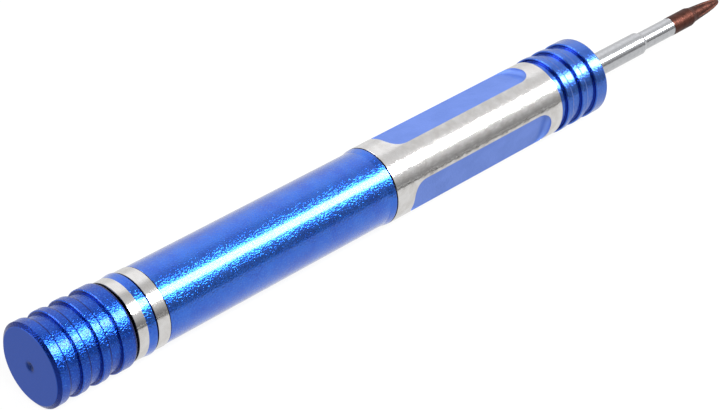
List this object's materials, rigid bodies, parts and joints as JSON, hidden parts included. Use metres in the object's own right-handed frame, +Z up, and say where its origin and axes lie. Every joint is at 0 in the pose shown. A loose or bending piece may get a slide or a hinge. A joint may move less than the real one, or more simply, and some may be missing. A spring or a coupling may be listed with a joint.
{
  "type": "watchmaker screwdriver",
  "caption": "Slim precision screwdriver with a grooved ball-bearing swivel cap, an aluminium handle with three milled flats, and a fixed cross-point blade.",
  "frame": {"origin": "centre of the swivel cap's flat end face, on the tool's axis", "axes": "+X along the tool's axis towards the point, +Z up with the tool lying on a table"},
  "size_m": [0.1158, 0.01, 0.01],
  "materials": {
    "blue_anodised": "blasted and anodised royal blue",
    "blue_anodised_barrel": "blasted and anodised royal blue, with bright turned bands",
    "turned_aluminium": "bright turned, with blue anodised flats and collar",
    "plated_blade": "plated and polished, with a copper-brown point",
    "bearing_steel": "ground",
    "ball_steel": "polished",
    "cage_brass": "machined",
    "shield_steel": "pressed",
    "screw_steel": "turned, dark oil finish"
  },
  "bodies": {
    "handle": {"barrel": "blue_anodised_barrel", "grip": "turned_aluminium", "blade": "plated_blade", "swivel_screw": "screw_steel", "swivel_spacer": "screw_steel", "bearing_inner_ring": "bearing_steel"},
    "cap": {"cap_shell": "blue_anodised", "bearing_outer_ring": "bearing_steel", "bearing_shield_rear": "shield_steel", "bearing_shield_front": "shield_steel"},
    "ball_set": {"bearing_ball_1": "ball_steel", "bearing_ball_2": "ball_steel", "bearing_ball_3": "ball_steel", "bearing_ball_4": "ball_steel", "bearing_ball_5": "ball_steel", "bearing_ball_6": "ball_steel", "bearing_ball_7": "ball_steel", "bearing_cage": "cage_brass"}
  },
  "joints": [
    {"name": "cap_swivel", "type": "hinge", "parent": "handle", "child": "cap", "pos_m": [0.0061, 0, 0], "axis": [1, 0, 0], "continuous": true},
    {"name": "ball_set_orbit", "type": "hinge", "parent": "handle", "child": "ball_set", "pos_m": [0.0061, 0, 0], "axis": [1, 0, 0], "continuous": true}
  ],
  "couplings": [
    {"joint": "ball_set_orbit", "follows": "cap_swivel", "ratio": 0.62}
  ]
}
